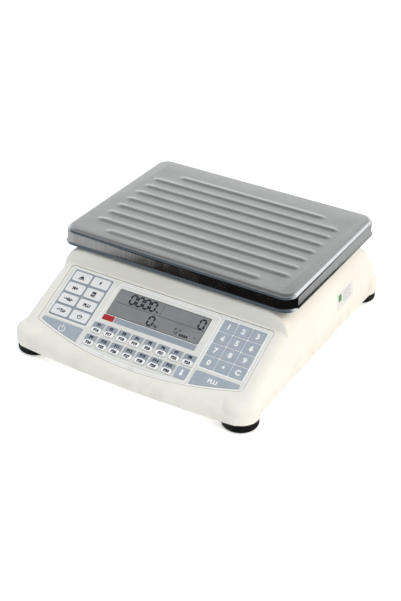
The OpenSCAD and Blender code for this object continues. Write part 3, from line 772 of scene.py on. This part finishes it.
def lettering(text, x, y, size, low, weight=0.0):
    """Printed lettering about a centre."""
    bpy.ops.object.text_add()
    label = bpy.context.object
    label.data.body = text
    label.data.size = size
    label.data.offset = weight
    label.data.resolution_u = 4
    label.data.align_x, label.data.align_y = "CENTER", "CENTER"
    bpy.ops.object.convert(target="MESH")
    label = bpy.context.object
    with editing(label):
        bpy.ops.mesh.dissolve_limited(angle_limit=math.radians(1))
        bpy.ops.mesh.select_all(action="SELECT")
        bpy.ops.mesh.extrude_region_move(TRANSFORM_OT_translate={"value": (0, 0, PRINT_T)})
    face_outwards(label)
    low_x, high_x = (f(v.co.x for v in label.data.vertices) for f in (min, max))
    low_y, high_y = (f(v.co.y for v in label.data.vertices) for f in (min, max))
    label.data.transform(Matrix.Translation((x - (low_x + high_x) / 2, y - (low_y + high_y) / 2, low)))
    return label


FIGURE_H, FIGURE_PITCH, UNIT_SIZE, UNIT_WEIGHT = 12.2, 9.2, 4.2, 0.12


def display_figures(low):
    """What the display shows, about the glass's centre."""
    parts = []
    zeros = [(-43 + FIGURE_PITCH * i, 3.4) for i in range(4)] + [(51, 1.8), (-8.5, -15)]
    for x, y in zeros:
        parts += seven_segments("abcdef", x, y, FIGURE_H, low)
    parts.append(ink("point", rounded_outline(-35, 3.2, 1.5, 1.5, 0.7, 2), low))
    parts.append(lettering("kg", -4.6, 4.4, UNIT_SIZE, low, UNIT_WEIGHT))
    parts.append(lettering("/kg", 2.8, -13.6, UNIT_SIZE, low, UNIT_WEIGHT))
    for first, last in (((-61, 0.4), (61, 0.4)), ((0.5, 0.4), (0.5, 17.2))):
        parts.append(bar(first, last, 0.45, low, pointed=False))
    for i in range(4):
        parts.append(ink("charge", rounded_outline(36.5 + 2.9 * i, -13.6, 2.2, 3.2, 0.3, 2), low))
    for tail, tip in ((27, 29.6), (34.6, 32)):
        parts.append(ink("mark", [(tail, -6.5), (tip, -8), (tail, -9.5)], low))
    for x, y in ((28, -12.4), (31, -11.4), (31, -13.6), (54.5, -11.5)):
        parts.append(ink("mark", rounded_outline(x, y, 1.9, 1.3, 0.4, 2), low))
    return parts


front_glass = console @ Matrix.Translation((0, GLASS_Y, 0))
fix_on(join("lcd_figures", display_figures(-0.4)), front_glass, dark_crystal)

# ---------------------------------------------------------------- Keypad overlay
# Polyester film printed on its underside, on a foam spacer, glued into the console's recess. The
# printed fields are blue grey on pale grey, each with a white rule round it.

# Printed polyester, embossed satin: pale grey, with a very fine pebble
FILM_PEBBLE = (0.5, 2, 0.01, 0.5)
pale_film = surface("pale_printed_polyester", (24, 3), ("#e6e6e1", "#ecece7"), grain=FILM_PEBBLE,
    Roughness=0.38)
# White ink: brighter and flatter than the film round it
white_ink = surface("white_screen_ink", (3, 2), ("#fafafa", "#fefefe"), Roughness=0.45)
# Blue-grey ink: even, slightly darker where the pass was heavier
grey_ink = surface("blue_grey_screen_ink", (12, 3), ("#99a2ad", "#a2abb6"), grain=FILM_PEBBLE,
    Roughness=0.42)
# Dark ink: navy black
dark_ink = surface("navy_screen_ink", (2, 2), ("#1c2230", "#2a3040"), Roughness=0.45)
# Red ink for the plain tab beside the strip
red_ink = surface("red_screen_ink", (5, 3), ("#a8252a", "#bb3230"), Roughness=0.42)
finish_node("keypad_overlay", pale_film, 0.08, 1)


def rule(name, outer, inner):
    """A thin printed line round a field."""
    line = ink(name, outer)
    combine(line, prism("inside", inner, -1, 1))
    return line


RULE_W = 1.2
FIELD_Y, NUMBER_FIELD_X, COMMAND_FIELD_X = 44.2, 104.0, -102.8
rules = [
    rule("rule", panel_outline(0.5), panel_outline(0.5 + RULE_W)),
    rule("rule", bowed_outline(-67.5, 72.5, 78.2, 3.2, 6), bowed_outline(-67.5 + RULE_W, 72.5 - RULE_W,
        78.2 - RULE_W, 3.2 + RULE_W, 5.2)),
    rule("rule", rounded_outline(COMMAND_FIELD_X, FIELD_Y, 57, 70, 3),
        rounded_outline(COMMAND_FIELD_X, FIELD_Y, 55.6, 68.6, 2.4))]
fix_on(join("white_rules", rules), console, white_ink)
number_field = ink("number_field", rounded_outline(NUMBER_FIELD_X, FIELD_Y, 58.4, 68.4, 3))
digit_keys = ["digit_key_%d" % number for number in range(10)] + ["decimal_key", "clear_key"]
command_field = ink("command_field", rounded_outline(COMMAND_FIELD_X, FIELD_Y, 54.4, 67.4, 2))
command_keys = ["command_key_%d" % number for number in range(1, 9)]


def key_centre(name):
    """A key's centre on the console, in mm."""
    low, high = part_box(name)
    return console.inverted() @ ((low + high) / 2)


for field, names, hole in ((command_field, command_keys, (25.7, 15.2, 2.45)),
        (number_field, digit_keys, (17.7, 15.7, 0.8))):
    for name in names:
        at = key_centre(name)
        combine(field, prism("hole", rounded_outline(at.x, at.y, *hole), -1, 1))
fix_on(number_field, console, white_ink)
fix_on(command_field, console, grey_ink)
fix_on(ink("display_strip", rounded_outline(7.6, 30.4, 109.6, 7.4, 1.2)), console, grey_ink)
fix_on(ink("red_tab", rounded_outline(-55.4, 30.4, 15.2, 7.6, 0.8)), console, red_ink)
fix_on(rule("window_line", rounded_outline(0, GLASS_Y, 124.6, 36.8, 2.2),
    rounded_outline(0, GLASS_Y, 123.3, 35.5, 1.8)), console, dark_ink)

# Inspection label on the housing's right side: plain white film with a green square and grey bars
LABEL_Y, LABEL_Z, LABEL_W, LABEL_H = 74.0, 48.0, 44.0, 22.0
BAR_COUNT, BAR_LEFT, BAR_RIGHT, BAR_TOP, BAR_PITCH, BAR_H = 5, -6, 18, 7, 3, 0.7
lean = math.atan(SIDE_LEAN / (LEAN_TOP_Z - SKIRT_Z))
label_place = Matrix(((0, -math.sin(lean), math.cos(lean), (side_x(LABEL_Z) + PRINT_T) * MM),
    (1, 0, 0, LABEL_Y * MM), (0, math.cos(lean), math.sin(lean), LABEL_Z * MM),
    (0, 0, 0, 1))) @ Matrix.Scale(MM, 4)
green_ink = surface("green_label_ink", (3, 2), ("#3f8f4a", "#56a05c"), Roughness=0.42)
fix_on(ink("side_label", rounded_outline(0, 0, LABEL_W, LABEL_H, 1.2)), label_place, pale_film)
fix_on(ink("side_label_square", rounded_outline(-14, 3.5, 8, 9, 0.6), PRINT_T), label_place, green_ink)
label_bars = []
for i in range(BAR_COUNT):
    y = BAR_TOP - BAR_PITCH * i
    label_bars.append(bar((BAR_LEFT, y), (BAR_RIGHT - 5 * (i % 2), y), BAR_H, PRINT_T, pointed=False))
fix_on(join("side_label_bars", label_bars), label_place, grey_ink)

# ---------------------------------------------------------------- Keys
# Thirty-eight domed places in the film, each with its own printed face that moves with it: number
# keys, command keys, function keys with a tab over a pill, and two wedges at the lower corners.
KEY_FACE = 0.45

# Blue-grey key film: satin, a shade warmer than the ink round it, rubbed slightly pale in use
KEY_RUB = (5, 3, 0.33, 0.46)
grey_film = surface("blue_grey_key_film", (9, 4), ("#a6b0bb", "#afb9c4"), gloss=KEY_RUB,
    grain=FILM_PEBBLE, Roughness=0.4)
# White key film: satin off-white
white_film = surface("white_key_film", (9, 4), ("#ebecec", "#f1f2f2"), gloss=KEY_RUB,
    grain=FILM_PEBBLE, Roughness=0.4)
function_keys = ["function_key_%d" % number for number in range(1, 16)]
for name in digit_keys + command_keys + ["power_key", "lookup_key", "shift_key"]:
    finish_node(name, grey_film, 0.25, 2)
for name in function_keys:
    finish_node(name, pale_film, 0.25, 2)


def paint(piece, material):
    """Gives a printed shape its ink before it is joined to others."""
    piece.data.materials.clear()
    piece.data.materials.append(material)
    return piece


def print_on(key, parts):
    """Joins what is printed on a key and lets it ride with the key."""
    at = key_centre(key)
    face = join(key + "_print", parts)
    put(face, console @ Matrix.Translation((at.x, at.y, KEY_FACE)))
    finish_piece(face, key)


DIGIT_SIZE, DIGIT_WEIGHT = 9.0, 0.42
for name, figure in zip(digit_keys[:10] + ["clear_key"], "0123456789C"):
    print_on(name, [paint(lettering(figure, 0, 0, DIGIT_SIZE, 0, DIGIT_WEIGHT), white_ink)])
print_on("decimal_key", [paint(ink("dot", rounded_outline(0, 0, 3.2, 3.2, 1.55, 6)), white_ink)])

TAB_W, TAB_L, TAB_Y, PILL_W, PILL_L, PILL_Y = 15.2, 9.0, 2.8, 13.6, 6.8, -3.1
EDGE_W, EDGE_L = PILL_W + 1, PILL_L + 1
CAPTION_SIZE, TAB_CAPTION_Y = 4.8, 4.0
for number, name in enumerate(function_keys, start=1):
    edge = rounded_outline(0, PILL_Y, EDGE_W, EDGE_L, EDGE_L / 2 - 0.05)
    pill = rounded_outline(0, PILL_Y, PILL_W, PILL_L, PILL_L / 2 - 0.05)
    captions = [lettering("F%d" % number, 0, TAB_CAPTION_Y, CAPTION_SIZE, PRINT_T, 0.33),
        lettering("F%d" % (number + len(function_keys)), 0, PILL_Y, CAPTION_SIZE, 2 * PRINT_T, 0.35)]
    print_on(name, [paint(ink("tab", rounded_outline(0, TAB_Y, TAB_W, TAB_L, 1.8, 4)), grey_ink),
        paint(prism("pill_edge", edge, 0, 1.5 * PRINT_T), grey_ink),
        paint(prism("pill", pill, 0, 2 * PRINT_T), white_ink),
        paint(captions[0], dark_ink), paint(captions[1], dark_ink)])

arrow = [(0, -4.4), (2.7, -0.6), (1.1, -0.6), (1.1, 4.2), (-1.1, 4.2), (-1.1, -0.6), (-2.7, -0.6)]
print_on("shift_key", [paint(ink("arrow", arrow), white_ink)])


def ring_arc(radius, width, first, last, steps=28):
    """Part of a ring, as an outline between two angles in degrees."""
    angles = [math.radians(first + (last - first) * i / steps) for i in range(steps + 1)]
    outer = [Vector((math.cos(a), math.sin(a))) * (radius + width / 2) for a in angles]
    inner = [Vector((math.cos(a), math.sin(a))) * (radius - width / 2) for a in reversed(angles)]
    return outer + inner


power_sign = [ink("ring", ring_arc(4.0, 0.9, 125, 415)), bar((0, 0.8), (0, 5.2), 0.9, 0, pointed=False)]
for part in power_sign:
    part.data.transform(Matrix.Translation((2.6, 1.0, 0)))
print_on("power_key", [paint(part, white_ink) for part in power_sign])
print_on("lookup_key", [paint(lettering("PLU", -3, 1.8, 6.8, 0, 0.3), white_ink)])

COMMAND_LEGENDS = ("", "F", "M+", "MR\nMC", "\u21920\u2190", "PLU", "\u2192T\u2190", "")
KEY_CAP_W, KEY_CAP_L = 23.8, 13.2


def command_print(name, parts):
    """A white cap printed on a command key, with its sign in dark ink."""
    cap = ink("cap", rounded_outline(0, 0, KEY_CAP_W, KEY_CAP_L, 2.2, 5))
    for part in parts:
        part.data.transform(Matrix.Translation((0, 0, PRINT_T)))
    print_on(name, [paint(cap, white_film)] + [paint(part, dark_ink) for part in parts])


for name, legend in zip(command_keys, COMMAND_LEGENDS):
    if legend:
        command_print(name, [lettering(legend, 0, 0, 4.0 if len(legend) > 4 else 5.6, 0, 0.34)])
heap = [(-3.6, -1.8), (3.6, -1.8), (1.8, 1.0), (0.9, 0.6), (0, 3.8), (-0.9, 0.6), (-1.8, 1.0)]
command_print("command_key_1", [bar((-4.2, -2.8), (4.2, -2.8), 0.9, 0, pointed=False), ink("heap", heap)])
command_print("command_key_8", [ink("bag", ring_arc(2.8, 0.8, 180, 360, 16)),
    bar((-3.8, 0.5), (3.8, 0.5), 0.9, 0, pointed=False), ink("lid", ring_arc(2.4, 0.7, 20, 160, 12))])

# ---------------------------------------------------------------- Customer's display
# A second display under a film window on the sloping back, so the customer can read the price. The
# film is printed dark grey round a clear middle.

# Smoke-grey printed film: semi-gloss and even
smoke_film = surface("smoke_grey_printed_film", (20, 3), ("#5d656f", "#68717b"),
    grain=(0.5, 2, 0.01, 0.4), Roughness=0.3)
# Clear polycarbonate: colourless and glossy, a little cloudy in patches
clear_film = surface("clear_polycarbonate", (25, 2), ("#f4f6f6", "#fbfcfc"), Transmission_Weight=1.0,
    IOR=1.58, Roughness=0.05)
window = prism("rear_window_film", rounded_outline(0, 0, 150, 46, 4), -1, 0)
combine(window, prism("clear", rounded_outline(0, 0, 122, 34, 2), -2, 1))
put(window, rear)
finish_piece(window, "base", smoke_film, ("rear_window",))
pane = prism("rear_window_pane", rounded_outline(0, 0, 121.9, 33.9, 2), -0.6, -0.05)
fix_on(pane, rear, clear_film)
fix_on(join("rear_figures", display_figures(-1.0)), rear, dark_crystal)

# ---------------------------------------------------------------- Pan support
# Cast aluminium cross bolted to the free end of the load cell. Four posts come up through the deck
# and carry rubber caps, on which the pan rests.

# Sand-cast aluminium: pale and matt with a coarse skin
cast_aluminium = surface("sand_cast_aluminium", (6, 5), ("#b3b5b6", "#cccecf"),
    grain=(1.1, 4, 0.12, 0.7), Metallic=1.0, Roughness=0.5)
finish_node("pan_support", cast_aluminium, 0.8, 3)
finish_node("cell_deck_bolts", black_oxide, 0.3)
finish_node("pan_bumpers", black_rubber, 0.8, 3)

# ---------------------------------------------------------------- Weighing pan
# Stainless sheet 0.9 mm thick pressed into a shallow tray and turned over. The top is flat and
# satin with nine ribs pressed up; the bend and the rim are polished and the lip flares out.
pan_middle = (pan_low + pan_high) / 2 / MM
PAN_W, PAN_D = (pan_high.x - pan_low.x) / MM, (pan_high.y - pan_low.y) / MM
PAN_LIP_Z = pan_low.z / MM
RIB_H = 1.5
PAN_TOP_Z = pan_high.z / MM - RIB_H
SHEET_T, FLARE, LIP_H = 0.9, 1.5, 4.6
PAN_CORNER_R, PAN_BEND_R = 17.0, 6.4
RIB_PITCH, RIB_W, LONG_RIB, SHORT_RIB, RIB_COUNT = 20.9, 13.0, 266.0, 212.0, 9
RIB_SHIFT, RIB_TAPER, FIELD_MARGIN = 9.5, 0.8 * RIB_W, 3.0
FLAT_NORMAL_Z = 0.985

# Stainless steel, satin rolled on the top: grey with soft clouds and fine hairlines along
# the ribs
satin_steel = surface("satin_stainless_steel", (32, 4), ("#bfc0c0", "#cbcccc"),
    gloss=(32, 4, 0.25, 0.33), grain=(1.4, 3, (40, 1, 1), 0.002, 0.3), Metallic=1.0, Roughness=0.3)
# The same steel polished on the bend and the rim: bright, with faint draw marks round the corners
polished_steel = surface("polished_stainless_steel", (1.6, 3, (1, 1, 8)), ("#c6c7c8", "#d6d7d8"),
    gloss=(14, 4, 0.06, 0.16), grain=(9, 2, 0.03, 0.35), Metallic=1.0, Roughness=0.1)

rim_h = PAN_TOP_Z - PAN_LIP_Z - LIP_H
bpy.ops.mesh.primitive_cube_add(size=1,
    location=Vector((0, pan_middle.y, PAN_LIP_Z + LIP_H + rim_h / 2)) * MM,
    scale=Vector((PAN_W - 2 * FLARE, PAN_D - 2 * FLARE, rim_h)) * MM)
pan = bpy.context.object
pan.name = "pan_sheet"
bpy.ops.object.transform_apply(location=True, rotation=True, scale=True)
near = 0.01 * MM
top_height = PAN_TOP_Z * MM
rim_base = (PAN_LIP_Z + LIP_H) * MM
with editing(pan):
    pick(pan, "FACE", lambda centre, normal: normal.z < -0.9)
    bpy.ops.mesh.delete(type="FACE")
    pick(pan, "EDGE", lambda a, b: abs(a.z - b.z) > near)
    bpy.ops.mesh.bevel(offset=PAN_CORNER_R * MM, segments=12, affect="EDGES")
    pick(pan, "EDGE", lambda a, b: min(a.z, b.z) > top_height - near)
    bpy.ops.mesh.bevel(offset=PAN_BEND_R * MM, segments=7, affect="EDGES")
    pick(pan, "EDGE", lambda a, b: max(a.z, b.z) < rim_base + near)
    pan_centre = Vector((0, pan_middle.y * MM, rim_base))
    for share, growth in ((0.55, (1 + 0.7 * FLARE / PAN_W, 1 + 0.7 * FLARE / PAN_D, 1)),
            (0.45, (PAN_W / (PAN_W - 1.3 * FLARE), PAN_D / (PAN_D - 1.3 * FLARE), 1))):
        bpy.ops.mesh.extrude_edges_move(TRANSFORM_OT_translate={"value": (0, 0, -LIP_H * MM * share)})
        bpy.ops.transform.resize(value=growth, center_override=pan_centre)
face_outwards(pan)

pan.data.materials.append(satin_steel)
pan.data.materials.append(polished_steel)
for face in pan.data.polygons:
    face.material_index = 0 if face.normal.z > FLAT_NORMAL_Z else 1

rib_middle = pan_middle.y - RIB_SHIFT
rib_ys = [rib_middle + (i - (RIB_COUNT - 1) / 2) * RIB_PITCH for i in range(RIB_COUNT)]
field_x = LONG_RIB / 2 + FIELD_MARGIN
field_y = (RIB_COUNT - 1) / 2 * RIB_PITCH + RIB_W / 2 + FIELD_MARGIN


def in_field(centre, normal=None):
    """Whether a face lies in the part of the top that holds the ribs."""
    return (abs(centre.x) < field_x * MM + near and abs(centre.y - rib_middle * MM) < field_y * MM + near
        and centre.z > top_height - near)


def cut_line(axis, place_mm, wanted):
    """Cuts the chosen faces of the pan along a line across X or Y."""
    pick(pan, "FACE", wanted)
    normal = (1, 0, 0) if axis == "x" else (0, 1, 0)
    bpy.ops.mesh.bisect(plane_co=Vector(normal) * place_mm * MM, plane_no=normal)


ACROSS_STEPS, END_STEPS = 10, 6
with editing(pan):
    for x in (-field_x, field_x):
        cut_line("x", x, lambda centre, normal: centre.z > top_height - near)
    for y in (rib_middle - field_y, rib_middle + field_y):
        cut_line("y", y, lambda centre, normal: centre.z > top_height - near and abs(centre.x) < field_x * MM)
    for rib_y in rib_ys:
        for i in range(ACROSS_STEPS + 1):
            cut_line("y", rib_y + RIB_W * (i / ACROSS_STEPS - 0.5), in_field)
    for half in (LONG_RIB / 2, SHORT_RIB / 2):
        for side in (-1, 1):
            for i in range(END_STEPS + 1):
                cut_line("x", side * (half - RIB_TAPER * i / END_STEPS), in_field)


def rib_height(x, y):
    """Height of the ribs over the flat top, in mm: a smooth crest that tapers to a point."""
    for i, rib_y in enumerate(rib_ys):
        if abs(y - rib_y) <= RIB_W / 2:
            half = (SHORT_RIB if i in (0, RIB_COUNT - 1) else LONG_RIB) / 2
            over = max(abs(x) - (half - RIB_TAPER), 0) / RIB_TAPER
            across = abs(y - rib_y) / (RIB_W / 2)
            reach = min(math.hypot(over, across), 1)
            return RIB_H * (0.5 + 0.5 * math.cos(math.pi * reach))
    return 0


for vertex in pan.data.vertices:
    if vertex.co.z > top_height - near:
        vertex.co.z += rib_height(vertex.co.x / MM, vertex.co.y / MM) * MM
wall = pan.modifiers.new("wall", "SOLIDIFY")
wall.thickness = SHEET_T * MM
wall.offset = -1
wall.use_even_offset = True
only(pan)
bpy.ops.object.modifier_apply(modifier=wall.name)
finish_piece(pan, "pan", None, ("weighing_pan",), 50)
